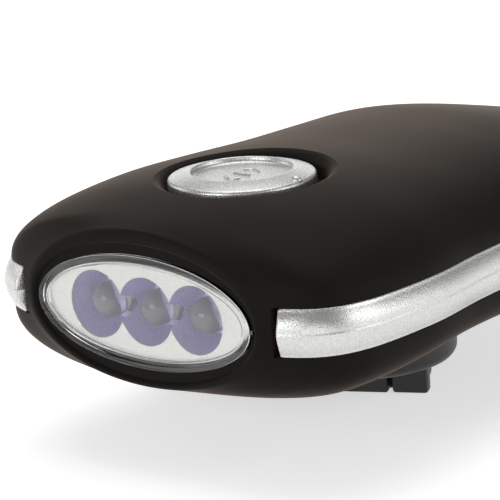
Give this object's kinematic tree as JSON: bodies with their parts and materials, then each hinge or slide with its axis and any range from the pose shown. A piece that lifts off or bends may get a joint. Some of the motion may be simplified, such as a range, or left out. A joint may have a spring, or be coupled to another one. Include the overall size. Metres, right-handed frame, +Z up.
{
  "type": "wind-up torch",
  "caption": "Wind-up torch with an oval clear lens over small lamps, a silver push button on top, silver side strips and a folding crank with a knob underneath.",
  "frame": {"origin": "Middle of the base of the bounding box, at the height of the underside of the folded crank arm, which the torch rests on.", "axes": "+Z up through the push button, +Y from the lens to the tail, +X to the right when the lens faces away from +Y."},
  "size_m": [0.0662, 0.109, 0.039],
  "materials": {
    "soft_black": "soft-touch black coating over moulded plastic",
    "satin_silver": "satin silver paint over moulded plastic",
    "clear_plastic": "clear moulded plastic, polished",
    "plated_lilac": "satin plated plastic, grey plate with lilac cups",
    "clear_epoxy": "clear epoxy of a 5 mm lamp",
    "circuit_board": "green solder resist on fibreglass",
    "black_plastic": "fine-grained black moulded plastic",
    "white_nylon": "natural moulded plastic",
    "cell_sleeve": "green shrink sleeve over a steel can",
    "steel": "plated steel",
    "magnet": "bare dark ferrite",
    "copper": "enamelled copper wire",
    "red_plastic": "red wire insulation"
  },
  "bodies": {
    "housing": {"upper_housing": "soft_black", "lower_housing": "soft_black", "trim_left_upper": "satin_silver", "trim_left_lower": "satin_silver", "trim_right_upper": "satin_silver", "trim_right_lower": "satin_silver", "lens_cover": "clear_plastic", "reflector": "plated_lilac", "lamp_left": "clear_epoxy", "lamp_centre": "clear_epoxy", "lamp_right": "clear_epoxy", "lamp_board": "circuit_board", "switch_body": "black_plastic", "main_board": "circuit_board", "rectifier": "black_plastic", "capacitor": "black_plastic", "charge_resistor": "white_nylon", "cell_1": "cell_sleeve", "cell_2": "cell_sleeve", "cell_3": "cell_sleeve", "cell_contact_negative": "steel", "cell_contact_positive": "steel", "case_screw_front_left": "steel", "case_screw_front_right": "steel", "case_screw_rear_left": "steel", "case_screw_rear_right": "steel", "board_screw_left": "steel", "board_screw_right": "steel", "bridge_screw_right": "steel", "bridge_screw_left": "steel", "bridge_screw_rear": "steel", "axle_1": "steel", "axle_2": "steel", "gear_bridge": "white_nylon", "stator_cup": "steel", "stator_plate": "steel", "coil_bobbin": "white_nylon", "coil_winding": "copper", "lamp_lead_red": "red_plastic", "lamp_lead_black": "black_plastic", "coil_lead_front": "copper", "coil_lead_rear": "copper"},
    "button": {"button_cap": "satin_silver"},
    "plunger": {"switch_plunger": "white_nylon"},
    "crank": {"crank_rotor": "black_plastic", "hinge_pin": "steel", "crank_gear": "white_nylon", "crank_washer": "steel", "crank_screw": "steel"},
    "arm": {"crank_arm": "black_plastic", "knob_pin": "steel"},
    "knob": {"crank_knob": "black_plastic"},
    "gear_1": {"compound_gear_1": "white_nylon"},
    "gear_2": {"compound_gear_2": "white_nylon"},
    "rotor": {"rotor_pinion": "white_nylon", "rotor_shaft": "steel", "magnet_rotor": "magnet"}
  },
  "joints": [
    {"name": "crank_spin", "type": "hinge", "parent": "housing", "child": "crank", "pos_m": [0, -0.0055, 0.01855], "axis": [0, 0, 1], "continuous": true},
    {"name": "arm_fold", "type": "hinge", "parent": "crank", "child": "arm", "pos_m": [0.00712, -0.00304, 0.002], "axis": [0.4067, -0.9135, 0], "range_deg": [0, 180]},
    {"name": "knob_spin", "type": "hinge", "parent": "arm", "child": "knob", "pos_m": [-0.02649, -0.0173, 0.00575], "axis": [0, 0, 1], "continuous": true},
    {"name": "gear_1_spin", "type": "hinge", "parent": "housing", "child": "gear_1", "pos_m": [-0.00899, 0.01675, 0.01982], "axis": [0, 0, 1], "continuous": true},
    {"name": "gear_2_spin", "type": "hinge", "parent": "housing", "child": "gear_2", "pos_m": [0.01, 0.01959, 0.01982], "axis": [0, 0, 1], "continuous": true},
    {"name": "rotor_spin", "type": "hinge", "parent": "housing", "child": "rotor", "pos_m": [0.00593, 0.00329, 0.0276], "axis": [0, 0, 1], "continuous": true},
    {"name": "button_press", "type": "slide", "parent": "housing", "child": "button", "axis": [0, 0, 1], "range_m": [-0.0015, 0], "stiffness_N_per_m": 400, "springref_m": 0.0006},
    {"name": "plunger_press", "type": "slide", "parent": "housing", "child": "plunger", "axis": [0, 0, 1], "range_m": [-0.0015, 0]}
  ],
  "couplings": [
    {"joint": "gear_1_spin", "follows": "crank_spin", "ratio": -4},
    {"joint": "gear_2_spin", "follows": "crank_spin", "ratio": 12},
    {"joint": "rotor_spin", "follows": "crank_spin", "ratio": -30},
    {"joint": "plunger_press", "follows": "button_press", "ratio": 1}
  ]
}
